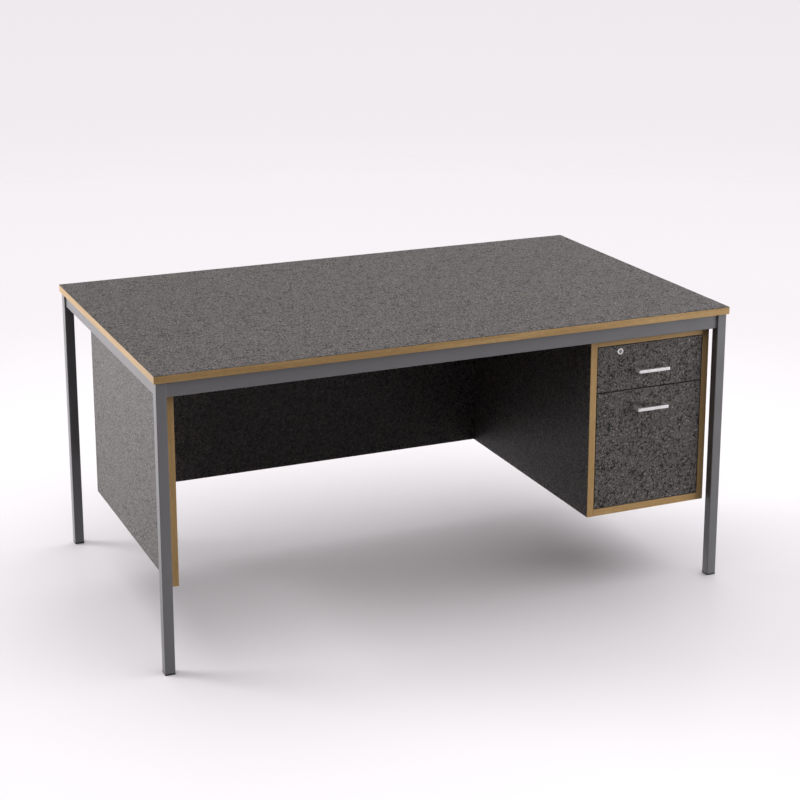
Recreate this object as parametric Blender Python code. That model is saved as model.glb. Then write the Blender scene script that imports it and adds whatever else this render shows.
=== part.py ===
"""Teacher desk: laminated worktop on a square-tube steel frame, with one side panel, a modesty
panel and a pedestal of two drawers.

Lengths are metres and +Z is up. The origin is on the floor at the centre of the desk. The user
sits at -Y and +X is to the user's right, where the pedestal hangs.
"""
import math

import bmesh
import bpy
from mathutils import Vector

# Worktop
DESK_WIDTH = 1.500
DESK_DEPTH = 0.900
DESK_HEIGHT = 0.725
BOARD = 0.018
LAMINATE = 0.001
LIPPING = 0.006

# Clearance left between pieces that touch
GAP = 0.0003

# Steel frame: square legs, and flatter rails centred on them
LEG = 0.025
LEG_INSET = 0.005
LEG_CORNER = 0.002
RAIL_HEIGHT = 0.036
RAIL_THICK = 0.015
TUBE_WALL = 0.0015
FOOT_HEIGHT = 0.004
FOOT_PLUG = 0.020
FOOT_CHAMFER = 0.001
PLUG_TAPER = 0.0005
TAB_WIDTH = 0.036
TAB_REACH = 0.028
TAB_THICK = 0.003
TAB_HOLE = 0.0025
TAB_SPOTS = (
    ("front_left", -0.45, -1),
    ("front_right", 0.10, -1),
    ("back_left", -0.45, 1),
    ("back_right", 0.45, 1),
)

# Panels that hang from the worktop
FRONT_PLANE = -0.420
BACK_PLANE = 0.258
PANEL_BOTTOM = 0.207
SIDE_PANEL_OUTER = -0.716
EDGING = 0.002

# Pedestal and its two drawers
PEDESTAL_LEFT = 0.3705
PEDESTAL_WIDTH = 0.3405
PEDESTAL_TOP = 0.670
FRONT_GAP = 0.002
DRAWER_SPLIT = 0.5315
SPLIT_GAP = 0.003
FRONT_EDGING = 0.0008
DRAWER_SIDE = 0.012
DRAWER_BASE = 0.006
DRAWER_LENGTH = 0.520
DRAWER_LIFT = 0.0115
BASE_RISE = 0.004
TOP_SIDE_HEIGHT = 0.095
BOTTOM_SIDE_HEIGHT = 0.260

# Side-mounted telescopic runners
RUNNER_SPACE = 0.0127
RUNNER_LENGTH = 0.500
RUNNER_SETBACK = 0.004
RUNNER_STEEL = 0.0012
OUTER_RUNNER_HEIGHT = 0.036
OUTER_RUNNER_DEPTH = 0.0100
INNER_RUNNER_HEIGHT = 0.026
INNER_RUNNER_DEPTH = 0.0075

# Bow handles
HANDLE_LENGTH = 0.088
HANDLE_REACH = 0.025
HANDLE_BAR = 0.008
HANDLE_CORNER = 0.003
HANDLE_EDGE = 0.0008
HANDLE_BELOW_LOCK = 0.053
BOTTOM_HANDLE_DROP = 0.048

# Cam lock of the top drawer
LOCK_X = 0.453
LOCK_Z = 0.635
LOCK_FLANGE = 0.0080
FLANGE_CHAMFER = 0.0004
LOCK_BODY = 0.0072
LOCK_BORE = 0.0053
LOCK_PLUG = 0.0050
LOCK_STUB = 0.0030
LOCK_PROUD = 0.0015
LOCK_BEHIND = 0.005
LOCK_NUT = 0.0095
LOCK_NUT_THICK = 0.003
CAM_REACH = 0.026
CAM_WIDTH = 0.010
CAM_THICK = 0.002
CAM_BOSS = 0.007
CAM_CLEARANCE = 0.0015
KEYWAY_WIDTH = 0.0014
KEYWAY_HEIGHT = 0.0064
KEYWAY_DEPTH = 0.006
ROUND_SIDES = 32

# Levels and planes worked out from the sizes above
WORKTOP_UNDERSIDE = DESK_HEIGHT - LAMINATE - BOARD
HANG_TOP = WORKTOP_UNDERSIDE - GAP
LEG_X = DESK_WIDTH / 2 - LEG_INSET - LEG / 2
LEG_Y = DESK_DEPTH / 2 - LEG_INSET - LEG / 2
PEDESTAL_RIGHT = PEDESTAL_LEFT + PEDESTAL_WIDTH
CARCASS_LEFT = PEDESTAL_LEFT + BOARD
CARCASS_RIGHT = PEDESTAL_RIGHT - BOARD
CARCASS_MIDDLE = (PEDESTAL_LEFT + PEDESTAL_RIGHT) / 2
DRAWER_BACK_OF_FRONT = FRONT_PLANE + BOARD
CAM_FACE = DRAWER_BACK_OF_FRONT + LOCK_BEHIND + 4 * GAP

# Finish: colour, roughness, metallic
FINISHES = {
    "laminate": ((0.045, 0.042, 0.041), 0.55, 0.0),
    "beech": ((0.42, 0.27, 0.11), 0.50, 0.0),
    "chipboard": ((0.40, 0.28, 0.15), 0.85, 0.0),
    "frame_paint": ((0.16, 0.16, 0.17), 0.45, 0.0),
    "foot_plastic": ((0.020, 0.020, 0.022), 0.55, 0.0),
    "drawer_lining": ((0.55, 0.42, 0.26), 0.55, 0.0),
    "runner_steel": ((0.55, 0.55, 0.56), 0.35, 1.0),
    "satin_nickel": ((0.72, 0.71, 0.72), 0.28, 1.0),
}


def clear_scene():
    """Remove every object that the file starts with."""
    for thing in list(bpy.data.objects):
        bpy.data.objects.remove(thing, do_unlink=True)


def own_material(name, finish):
    """Principled material of one piece."""
    colour, roughness, metallic = FINISHES[finish]
    made = bpy.data.materials.new(f"{name}_{finish}")
    made.use_nodes = True
    made.diffuse_color = (*colour, 1.0)
    shader = made.node_tree.nodes["Principled BSDF"]
    shader.inputs["Base Color"].default_value = (*colour, 1.0)
    shader.inputs["Roughness"].default_value = roughness
    shader.inputs["Metallic"].default_value = metallic
    return made


def group(name, location=(0.0, 0.0, 0.0), parent=None):
    """Empty that carries the pieces of one body, on the axis that the body moves on."""
    empty = bpy.data.objects.new(name, None)
    bpy.context.collection.objects.link(empty)
    set_place(empty, location, parent)
    return empty


def world_place(thing):
    """World position of an object that is parented without rotation or scale."""
    place = Vector(thing.location)
    if thing.parent:
        place += world_place(thing.parent)
    return place


def set_place(thing, location, parent):
    """Put an object at a world location under its parent."""
    thing.parent = parent
    base = world_place(parent) if parent else Vector((0.0, 0.0, 0.0))
    thing.location = Vector(location) - base


def piece(name, solid, finish, location, parent, smooth=False):
    """Turn a bmesh solid into the named object of one piece."""
    bmesh.ops.recalc_face_normals(solid, faces=solid.faces)
    mesh = bpy.data.meshes.new(name)
    solid.to_mesh(mesh)
    solid.free()
    if smooth:
        mesh.shade_smooth()
        mesh.set_sharp_from_angle(angle=math.radians(35))
    mesh.materials.append(own_material(name, finish))
    made = bpy.data.objects.new(name, mesh)
    bpy.context.collection.objects.link(made)
    set_place(made, location, parent)
    return made


def box(name, low, high, finish, parent):
    """Rectangular piece between two opposite corners."""
    low = Vector(low)
    high = Vector(high)
    solid = bmesh.new()
    bmesh.ops.create_cube(solid, size=1.0)
    bmesh.ops.scale(solid, vec=high - low, verts=solid.verts)
    return piece(name, solid, finish, (low + high) / 2, parent)


def on_axis(axis, across, up, along):
    """Point of a section, with its third coordinate along the given axis."""
    points = {"X": (along, across, up), "Y": (across, along, up), "Z": (across, up, along)}
    return points[axis]


def extruded(outline, axis, length):
    """Solid bar of one closed outline, centred on its length."""
    solid = bmesh.new()
    corners = [solid.verts.new(on_axis(axis, a, b, -length / 2)) for a, b in outline]
    end = solid.faces.new(corners)
    grown = bmesh.ops.extrude_face_region(solid, geom=[end])["geom"]
    moved = [part for part in grown if isinstance(part, bmesh.types.BMVert)]
    bmesh.ops.translate(solid, vec=on_axis(axis, 0.0, 0.0, length), verts=moved)
    return solid


def join_loops(solid, loops, closed):
    """Skin successive loops of equal length with quads; a closed skin returns to the first."""
    pairs = list(zip(loops, loops[1:]))
    if closed:
        pairs.append((loops[-1], loops[0]))
    for first, second in pairs:
        count = len(first)
        for i in range(count):
            j = (i + 1) % count
            solid.faces.new((first[i], first[j], second[j], second[i]))


def hollow(outer, inner, axis, length):
    """Open-ended tube between two outlines with the same number of points."""
    solid = bmesh.new()
    ends = ((outer, -1), (outer, 1), (inner, 1), (inner, -1))
    loops = [
        [solid.verts.new(on_axis(axis, a, b, side * length / 2)) for a, b in outline]
        for outline, side in ends
    ]
    join_loops(solid, loops, closed=True)
    return solid


def stepped(levels, axis):
    """Block of rectangles, each level giving its place along the axis and two half sizes."""
    solid = bmesh.new()
    loops = []
    for along, half_a, half_b in levels:
        corners = ((-half_a, -half_b), (half_a, -half_b), (half_a, half_b), (-half_a, half_b))
        loops.append([solid.verts.new(on_axis(axis, a, b, along)) for a, b in corners])
    join_loops(solid, loops, closed=False)
    solid.faces.new(loops[0])
    solid.faces.new(loops[-1])
    return solid


def turned(profile, closed):
    """Solid turned about the Y axis from (radius, y) points; an open profile gets flat ends."""
    solid = bmesh.new()
    loops = []
    for radius, along in profile:
        ring = [
            solid.verts.new((radius * math.cos(turn), along, radius * math.sin(turn)))
            for turn in round_angles()
        ]
        loops.append(ring)
    join_loops(solid, loops, closed)
    if not closed:
        solid.faces.new(loops[0])
        solid.faces.new(loops[-1])
    return solid


def round_angles(sides=ROUND_SIDES):
    """Angles of the corners of a round or regular piece."""
    return [2 * math.pi * i / sides for i in range(sides)]


def regular(radius, sides=ROUND_SIDES):
    """Closed outline of a circle, or of a polygon with a few equal sides."""
    return [(radius * math.cos(turn), radius * math.sin(turn)) for turn in round_angles(sides)]


def arc(centre, radius, start, end, steps):
    """Points of an arc, with its angles in degrees."""
    angles = [math.radians(start + (end - start) * i / steps) for i in range(steps + 1)]
    return [(centre[0] + radius * math.cos(a), centre[1] + radius * math.sin(a)) for a in angles]


def rounded_rectangle(width, height, radius, steps=3):
    """Closed outline of a rectangle with round corners, centred on zero."""
    half_w = width / 2 - radius
    half_h = height / 2 - radius
    corners = ((half_w, half_h), (-half_w, half_h), (-half_w, -half_h), (half_w, -half_h))
    outline = []
    for quarter, corner in enumerate(corners):
        outline += arc(corner, radius, 90 * quarter, 90 * (quarter + 1), steps)
    return outline


def rectangle(width, height):
    """Closed outline of a plain rectangle, centred on zero."""
    half_w = width / 2
    half_h = height / 2
    return [(-half_w, -half_h), (half_w, -half_h), (half_w, half_h), (-half_w, half_h)]


def cut(target, cutter):
    """Take the cutter's shape out of a piece."""
    cutter.hide_render = True
    cutter.display_type = "WIRE"
    removal = target.modifiers.new(cutter.name, "BOOLEAN")
    removal.operation = "DIFFERENCE"
    removal.solver = "EXACT"
    removal.object = cutter


def drill(target, name, radius, axis, length, centre, parent):
    """Bore a round hole through a piece."""
    cut(target, piece(name, extruded(regular(radius), axis, length), "laminate", centre, parent))


def soften(thing, width, segments):
    """Round the sharp edges of a piece."""
    rounding = thing.modifiers.new("soft_edges", "BEVEL")
    rounding.width = width
    rounding.segments = segments
    rounding.limit_method = "ANGLE"
    rounding.angle_limit = math.radians(40)


def build_worktop(desk):
    """Board with a solid lipping on its four edges, under one sheet of laminate."""
    half_w = DESK_WIDTH / 2
    half_d = DESK_DEPTH / 2
    top = DESK_HEIGHT - LAMINATE - GAP
    inner_w = half_w - LIPPING - GAP
    inner_d = half_d - LIPPING - GAP
    low = (-inner_w, -inner_d, WORKTOP_UNDERSIDE)
    box("worktop_board", low, (inner_w, inner_d, top), "chipboard", desk)
    sheet_low = (-half_w, -half_d, DESK_HEIGHT - LAMINATE)
    box("worktop_laminate", sheet_low, (half_w, half_d, DESK_HEIGHT), "laminate", desk)
    height = top - WORKTOP_UNDERSIDE
    middle = (top + WORKTOP_UNDERSIDE) / 2
    for name, side in (("front", -1), ("back", 1)):
        outline = mitred_strip(DESK_WIDTH, side)
        location = (0.0, side * (half_d - LIPPING / 2), middle)
        piece(f"lipping_{name}", extruded(outline, "Z", height), "beech", location, desk)
    for name, side in (("left", -1), ("right", 1)):
        outline = [(b, a) for a, b in mitred_strip(DESK_DEPTH, side)]
        location = (side * (half_w - LIPPING / 2), 0.0, middle)
        piece(f"lipping_{name}", extruded(outline, "Z", height), "beech", location, desk)


def mitred_strip(length, side):
    """Outline of a lipping strip whose ends are cut at 45 degrees, longer on its outer side."""
    outer = length / 2 - GAP
    inner = outer - LIPPING
    half = side * LIPPING / 2
    return [(-inner, -half), (inner, -half), (outer, half), (-outer, half)]


def corner_places():
    """Name and signs of the four corners of the frame."""
    return [
        (f"{row}_{column}", x_side, y_side)
        for row, y_side in (("front", -1), ("back", 1))
        for column, x_side in (("left", -1), ("right", 1))
    ]


def build_legs(desk):
    """Four square tubes with a plastic foot pushed into the lower end of each."""
    outer = rounded_rectangle(LEG, LEG, LEG_CORNER)
    bore = LEG - 2 * TUBE_WALL
    inner = rounded_rectangle(bore, bore, LEG_CORNER - TUBE_WALL)
    low = FOOT_HEIGHT + GAP
    plug = bore / 2 - GAP
    base = LEG / 2
    levels = (
        (0.0, base - FOOT_CHAMFER, base - FOOT_CHAMFER),
        (FOOT_CHAMFER, base, base),
        (FOOT_HEIGHT, base, base),
        (FOOT_HEIGHT, plug, plug),
        (FOOT_HEIGHT + FOOT_PLUG, plug - PLUG_TAPER, plug - PLUG_TAPER),
    )
    for corner, x_side, y_side in corner_places():
        x = x_side * LEG_X
        y = y_side * LEG_Y
        tube = hollow(outer, inner, "Z", HANG_TOP - low)
        piece(f"leg_{corner}", tube, "frame_paint", (x, y, (HANG_TOP + low) / 2), desk, smooth=True)
        piece(f"foot_{corner}", stepped(levels, "Z"), "foot_plastic", (x, y, 0.0), desk)


def build_rails(desk):
    """Four flat tubes between the legs, just under the worktop."""
    middle = HANG_TOP - RAIL_HEIGHT / 2
    outer = rounded_rectangle(RAIL_THICK, RAIL_HEIGHT, LEG_CORNER)
    bore = (RAIL_THICK - 2 * TUBE_WALL, RAIL_HEIGHT - 2 * TUBE_WALL)
    inner = rounded_rectangle(*bore, LEG_CORNER - TUBE_WALL)
    long_rail = 2 * (LEG_X - LEG / 2 - GAP)
    short_rail = 2 * (LEG_Y - LEG / 2 - GAP)
    for name, side in (("front", -1), ("back", 1)):
        tube = hollow(outer, inner, "X", long_rail)
        place = (0.0, side * LEG_Y, middle)
        piece(f"rail_{name}", tube, "frame_paint", place, desk, smooth=True)
    for name, side in (("left", -1), ("right", 1)):
        tube = hollow(outer, inner, "Y", short_rail)
        place = (side * LEG_X, 0.0, middle)
        piece(f"rail_{name}", tube, "frame_paint", place, desk, smooth=True)


def build_fixing_tabs(desk):
    """Drilled steel tabs on the long rails, through which the worktop is screwed down."""
    rail_inner = LEG_Y - RAIL_THICK / 2 - GAP
    middle = HANG_TOP - TAB_THICK / 2
    for corner, x, side in TAB_SPOTS:
        near = side * (rail_inner - TAB_REACH)
        far = side * rail_inner
        low = (x - TAB_WIDTH / 2, min(near, far), HANG_TOP - TAB_THICK)
        high = (x + TAB_WIDTH / 2, max(near, far), HANG_TOP)
        tab = box(f"fixing_tab_{corner}", low, high, "frame_paint", desk)
        centre = (x, (near + far) / 2, middle)
        drill(tab, f"fixing_drill_{corner}", TAB_HOLE, "Z", 2 * TAB_THICK, centre, desk)


def build_side_panel(desk):
    """Panel that hangs inside the left legs, edged along the front."""
    outer = SIDE_PANEL_OUTER
    inner = outer + BOARD
    board_low = (outer, FRONT_PLANE + EDGING + GAP, PANEL_BOTTOM)
    box("side_panel", board_low, (inner, BACK_PLANE, HANG_TOP), "laminate", desk)
    edge_low = (outer, FRONT_PLANE, PANEL_BOTTOM)
    edge_high = (inner, FRONT_PLANE + EDGING, HANG_TOP)
    box("side_panel_edging", edge_low, edge_high, "beech", desk)


def build_modesty_panel(desk):
    """Panel across the back of the knee space, from the side panel to the pedestal."""
    low = (SIDE_PANEL_OUTER + BOARD + GAP, BACK_PLANE - BOARD, PANEL_BOTTOM)
    box("modesty_panel", low, (PEDESTAL_LEFT - GAP, BACK_PLANE, HANG_TOP), "laminate", desk)


def build_pedestal(desk):
    """Box of two sides, a top, a bottom and a back, edged all round its front."""
    board_front = FRONT_PLANE + EDGING + GAP
    edge_back = FRONT_PLANE + EDGING
    inner_back = BACK_PLANE - BOARD - GAP
    left = CARCASS_LEFT + GAP
    right = CARCASS_RIGHT - GAP
    for name, start in (("left", PEDESTAL_LEFT), ("right", CARCASS_RIGHT)):
        end = start + BOARD
        low = (start, board_front, PANEL_BOTTOM)
        box(f"pedestal_side_{name}", low, (end, BACK_PLANE, HANG_TOP), "laminate", desk)
        low = (start, FRONT_PLANE, PANEL_BOTTOM)
        box(f"pedestal_edging_{name}", low, (end, edge_back, HANG_TOP), "beech", desk)
    for name, bottom in (("top", PEDESTAL_TOP - BOARD), ("bottom", PANEL_BOTTOM)):
        top = bottom + BOARD
        low = (left, board_front, bottom)
        board = box(f"pedestal_{name}", low, (right, inner_back, top), "laminate", desk)
        low = (left, FRONT_PLANE, bottom)
        box(f"pedestal_edging_{name}", low, (right, edge_back, top), "beech", desk)
        if name == "top":
            cut_cam_slot(board, desk)
    low = (left, BACK_PLANE - BOARD, PANEL_BOTTOM)
    box("pedestal_back", low, (right, BACK_PLANE, PEDESTAL_TOP), "laminate", desk)


def cut_cam_slot(board, desk):
    """Pocket under the pedestal's top board that the lock's cam turns up into."""
    reach = CAM_REACH + CAM_CLEARANCE
    right = LOCK_X + CAM_WIDTH / 2 + CAM_CLEARANCE
    back = CAM_FACE + CAM_THICK + CAM_CLEARANCE
    low = (LOCK_X - reach, CAM_FACE - CAM_CLEARANCE, PEDESTAL_TOP - 2 * BOARD)
    high = (right, back, LOCK_Z + reach)
    cut(board, box("cam_slot_cutter", low, high, "laminate", desk))


def build_runners(name, height, desk, drawer):
    """Two pairs of steel channels, the outer on the pedestal and the inner on the drawer."""
    outer = channel(OUTER_RUNNER_DEPTH, OUTER_RUNNER_HEIGHT)
    inner = channel(-INNER_RUNNER_DEPTH, INNER_RUNNER_HEIGHT)
    middle = DRAWER_BACK_OF_FRONT + RUNNER_SETBACK + RUNNER_LENGTH / 2
    for side, wall, sign in (("left", CARCASS_LEFT, 1), ("right", CARCASS_RIGHT, -1)):
        for member, outline, step, parent in (
            ("cabinet", outer, GAP, desk),
            ("drawer", inner, RUNNER_SPACE - GAP, drawer),
        ):
            section = [(sign * a, b) for a, b in outline]
            place = (wall + sign * step, middle, height)
            bar = extruded(section, "Y", RUNNER_LENGTH)
            piece(f"{name}_{member}_runner_{side}", bar, "runner_steel", place, parent)


def channel(depth, height):
    """Outline of a C section whose web stands at zero and whose flanges reach to depth."""
    sign = math.copysign(1.0, depth)
    half = height / 2
    web = sign * RUNNER_STEEL
    lower = -half + RUNNER_STEEL
    upper = half - RUNNER_STEEL
    return [(0.0, -half), (depth, -half), (depth, lower), (web, lower), (web, upper), (depth, upper),
            (depth, half), (0.0, half)]


def build_drawer(name, front_span, side_height, handle_height, desk, drawer):
    """Inset front on a four-part box, carried by its runners, with a bow handle."""
    front = build_drawer_front(name, *front_span, drawer)
    box_low = front_span[0] + DRAWER_LIFT
    box_high = box_low + side_height
    start = DRAWER_BACK_OF_FRONT + GAP
    end = start + DRAWER_LENGTH
    left = CARCASS_LEFT + RUNNER_SPACE
    right = CARCASS_RIGHT - RUNNER_SPACE
    for side, x in (("left", left), ("right", right - DRAWER_SIDE)):
        low = (x, start, box_low)
        high = (x + DRAWER_SIDE, end, box_high)
        box(f"{name}_side_{side}", low, high, "drawer_lining", drawer)
    inner_left = left + DRAWER_SIDE + GAP
    inner_right = right - DRAWER_SIDE - GAP
    floor = box_low + BASE_RISE
    back_low = (inner_left, end - DRAWER_SIDE, box_low)
    box(f"{name}_back", back_low, (inner_right, end, box_high), "drawer_lining", drawer)
    base_high = (inner_right, end - DRAWER_SIDE - GAP, floor + DRAWER_BASE)
    box(f"{name}_base", (inner_left, start, floor), base_high, "drawer_lining", drawer)
    build_runners(name, (box_low + box_high) / 2, desk, drawer)
    build_handle(name, handle_height, drawer)
    return front


def build_drawer_front(name, low, high, drawer):
    """Board whose face covers a thin edging that is let in round its four edges."""
    width = CARCASS_RIGHT - CARCASS_LEFT - 2 * FRONT_GAP
    height = high - low
    half_w = width / 2
    half_h = height / 2
    let_in = FRONT_EDGING + GAP
    levels = (
        (0.0, half_w, half_h),
        (LAMINATE, half_w, half_h),
        (LAMINATE, half_w - let_in, half_h - let_in),
        (BOARD, half_w - let_in, half_h - let_in),
    )
    place = (CARCASS_MIDDLE, FRONT_PLANE, (low + high) / 2)
    front = piece(f"{name}_front", stepped(levels, "Y"), "laminate", place, drawer)
    ring_depth = BOARD - LAMINATE - GAP
    outer = rectangle(width, height)
    inner = rectangle(width - 2 * FRONT_EDGING, height - 2 * FRONT_EDGING)
    ring_place = (place[0], DRAWER_BACK_OF_FRONT - ring_depth / 2, place[2])
    ring = hollow(outer, inner, "Y", ring_depth)
    piece(f"{name}_front_edging", ring, "beech", ring_place, drawer)
    return front


def build_handle(name, height, drawer):
    """Square-cornered bow handle, bent from one bar."""
    half = HANDLE_LENGTH / 2
    reach = -HANDLE_REACH
    inner = half - HANDLE_BAR
    inner_reach = reach + HANDLE_BAR
    corner = HANDLE_CORNER
    outline = [(-half, -GAP)]
    outline += arc((-half + corner, reach + corner), corner, 180, 270, 4)
    outline += arc((half - corner, reach + corner), corner, 270, 360, 4)
    outline += [(half, -GAP), (inner, -GAP), (inner, inner_reach)]
    outline += [(-inner, inner_reach), (-inner, -GAP)]
    bow = extruded(outline, "Z", HANDLE_BAR)
    place = (CARCASS_MIDDLE, FRONT_PLANE, height)
    made = piece(f"{name}_handle", bow, "satin_nickel", place, drawer)
    soften(made, HANDLE_EDGE, 2)


def build_lock(front, drawer):
    """Cam lock in the top drawer's front: a housing held by a nut, and a plug and cam that turn."""
    axis_point = (LOCK_X, FRONT_PLANE, LOCK_Z)
    drill(front, "lock_hole_cutter", LOCK_BODY + GAP, "Y", 4 * BOARD, axis_point, drawer)
    build_lock_housing(axis_point, drawer)
    turning = group("lock_axis", axis_point, drawer)
    cam_start = CAM_FACE - FRONT_PLANE
    section = [
        (LOCK_PLUG, GAP - LOCK_PROUD),
        (LOCK_PLUG, cam_start - GAP),
        (LOCK_STUB, cam_start - GAP),
        (LOCK_STUB, cam_start + 2 * CAM_THICK),
    ]
    solid = turned(section, closed=False)
    plug = piece("lock_plug", solid, "satin_nickel", axis_point, turning, smooth=True)
    low = (LOCK_X - KEYWAY_WIDTH / 2, FRONT_PLANE - 2 * LOCK_PROUD, LOCK_Z - KEYWAY_HEIGHT / 2)
    high = (LOCK_X + KEYWAY_WIDTH / 2, FRONT_PLANE + KEYWAY_DEPTH, LOCK_Z + KEYWAY_HEIGHT / 2)
    cut(plug, box("keyway_cutter", low, high, "satin_nickel", turning))
    build_cam(cam_start, turning)


def build_lock_housing(axis_point, drawer):
    """Flanged sleeve through the drawer front, and the six-sided nut behind it."""
    rear = BOARD + LOCK_BEHIND
    section = [
        (LOCK_BORE, -LOCK_PROUD),
        (LOCK_FLANGE - FLANGE_CHAMFER, -LOCK_PROUD),
        (LOCK_FLANGE, FLANGE_CHAMFER - LOCK_PROUD),
        (LOCK_FLANGE, -GAP),
        (LOCK_BODY, -GAP),
        (LOCK_BODY, rear),
        (LOCK_BORE, rear),
    ]
    solid = turned(section, closed=True)
    piece("lock_housing", solid, "satin_nickel", axis_point, drawer, smooth=True)
    place = (LOCK_X, DRAWER_BACK_OF_FRONT + GAP + LOCK_NUT_THICK / 2, LOCK_Z)
    hexagon = extruded(regular(LOCK_NUT, 6), "Y", LOCK_NUT_THICK)
    nut = piece("lock_nut", hexagon, "runner_steel", place, drawer)
    drill(nut, "lock_nut_cutter", LOCK_BODY + GAP, "Y", 2 * LOCK_NUT_THICK, place, drawer)


def build_cam(start, turning):
    """Flat lever on the end of the plug, pointing left while the lock is open."""
    tip = CAM_WIDTH / 2
    tip_centre = -(CAM_REACH - tip)
    outline = arc((0.0, 0.0), CAM_BOSS, -100, 100, 10)
    outline += arc((tip_centre, 0.0), tip, 100, 260, 8)
    place = (LOCK_X, FRONT_PLANE + start + CAM_THICK / 2, LOCK_Z)
    cam = piece("lock_cam", extruded(outline, "Y", CAM_THICK), "runner_steel", place, turning)
    drill(cam, "cam_eye_cutter", LOCK_STUB + GAP, "Y", 2 * CAM_THICK, place, turning)


def build_desk():
    """The whole desk, with one empty for each body that moves."""
    clear_scene()
    desk = group("desk")
    build_worktop(desk)
    build_legs(desk)
    build_rails(desk)
    build_fixing_tabs(desk)
    build_side_panel(desk)
    build_modesty_panel(desk)
    build_pedestal(desk)
    split_low = DRAWER_SPLIT - SPLIT_GAP / 2
    split_high = DRAWER_SPLIT + SPLIT_GAP / 2
    front_top = PEDESTAL_TOP - BOARD - FRONT_GAP
    front_bottom = PANEL_BOTTOM + BOARD + FRONT_GAP
    top_handle = LOCK_Z - HANDLE_BELOW_LOCK
    bottom_handle = split_low - BOTTOM_HANDLE_DROP
    upper = group("drawer_top_slide", (CARCASS_MIDDLE, FRONT_PLANE, split_high), desk)
    lower = group("drawer_bottom_slide", (CARCASS_MIDDLE, FRONT_PLANE, front_bottom), desk)
    top_front = build_drawer(
        "drawer_top", (split_high, front_top), TOP_SIDE_HEIGHT, top_handle, desk, upper
    )
    build_drawer(
        "drawer_bottom", (front_bottom, split_low), BOTTOM_SIDE_HEIGHT, bottom_handle, desk, lower
    )
    build_lock(top_front, upper)


build_desk()
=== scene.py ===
"""Looks of the teacher desk: finishes, softened edges, fasteners and fittings, studio and camera.

Lengths are metres in the desk's own frame: +Z up, the user at -Y, the pedestal at +X.
"""
import math

import bmesh
import bpy
from mathutils import Matrix, Vector


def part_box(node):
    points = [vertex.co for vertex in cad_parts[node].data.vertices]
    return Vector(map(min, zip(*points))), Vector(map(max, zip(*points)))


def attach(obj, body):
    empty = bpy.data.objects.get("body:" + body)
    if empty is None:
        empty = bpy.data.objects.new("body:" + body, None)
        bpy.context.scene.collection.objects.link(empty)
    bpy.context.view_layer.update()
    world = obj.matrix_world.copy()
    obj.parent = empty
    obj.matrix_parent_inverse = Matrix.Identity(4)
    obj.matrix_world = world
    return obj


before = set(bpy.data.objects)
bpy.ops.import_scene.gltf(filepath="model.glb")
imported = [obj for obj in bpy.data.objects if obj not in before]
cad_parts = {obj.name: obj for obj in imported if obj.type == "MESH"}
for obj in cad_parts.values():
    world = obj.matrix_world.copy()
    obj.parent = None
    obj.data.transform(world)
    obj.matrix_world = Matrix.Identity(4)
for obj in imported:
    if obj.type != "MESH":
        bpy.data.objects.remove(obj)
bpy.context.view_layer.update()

UP = Vector((0.0, 0.0, 1.0))
DOWN = -UP
RIGHT = Vector((1.0, 0.0, 0.0))
LEFT = -RIGHT
BACK = Vector((0.0, 1.0, 0.0))
FRONT = -BACK

# Depth that a fastener's head is sunk into the face it bears on, so that no slit shows under it
SEAT = 0.0001

# Edge rounding
SHEET_EDGE = 0.0004
BOARD_EDGE = 0.0006
LIPPING_EDGE = 0.0010
STEEL_EDGE = 0.0003
PLASTIC_EDGE = 0.0006
EDGE_SEGMENTS = 2

# Turn between two faces from which their edge counts as sharp, on the frame's nodes and the details
NODE_SHARP = math.radians(40)
DETAIL_SHARP = math.radians(38)

# Distance within which a node's split corners are joined before its edges are rounded
CORNER_GAP = 0.00001

# Heads of the fasteners: 24 sides put the corners of a cross at multiples of 15 degrees, which
# are compared with a little slack
HEAD_SIDES = 24
ANGLE_SLACK = 1e-6

# Profile of a head: up its wall as shares of radius and height, and then from the shoulder over
# the dome as shares of radius and of the crown's height
HEAD_WALL = ((0.97, 0.0), (1.0, 0.12))
HEAD_DOME = ((1.0, 0.0), (0.94, 0.45), (0.84, 0.78))

# Share of a head's height that is domed
SCREW_CROWN = 0.45
RUNNER_CROWN = 0.7
FITTING_CROWN = 0.2

# Cross recess: its tip as a share of the head's radius, the flat rim round it as a share of the
# tip, its depth as a share of the head's height, and its floor as a share of its mouth
CROSS_TIP = 0.55
CROSS_RIM = 1.22
CROSS_DEPTH = 0.6
CROSS_FLOOR = 0.6

# Sizes of the fasteners: head radius and head height, or outer radius and thickness
WORKTOP_SCREW = (0.0045, 0.0026)
HANDLE_SCREW = (0.0039, 0.0024)
RUNNER_SCREW = (0.0032, 0.0012)
BRACKET_SCREW = (0.0035, 0.0020)
CAM_SCREW = (0.0044, 0.0022)
CAM_FITTING = (0.0068, 0.0009)
WASHER = (0.0050, 0.0008)

# Turn of the crosses in radians per metre along a row, so that neighbours stand differently
WORKTOP_SPIN = 5
FITTING_SPIN = 7
HANDLE_SPIN = 9
DRAWER_RUNNER_SPIN = 11
CABINET_RUNNER_SPIN = 13
BRACKET_SPIN = 90

# Cam fittings: distance behind the side's front end, height of the strip at the bottom that they
# are spread above, and the height from which a side has two of them
FITTING_INSET = 0.024
FITTING_LIFT = 0.010
TALL_SIDE = 0.15

# Runners: thickness of their steel, and the places of their screws, which are measured from the
# front end if positive and from the back end if negative
RUNNER_STEEL = 0.0012
DRAWER_RUNNER_SCREWS = (0.045, 0.235, -0.060)
CABINET_RUNNER_SCREWS = (0.037, 0.261, -0.040)

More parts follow.
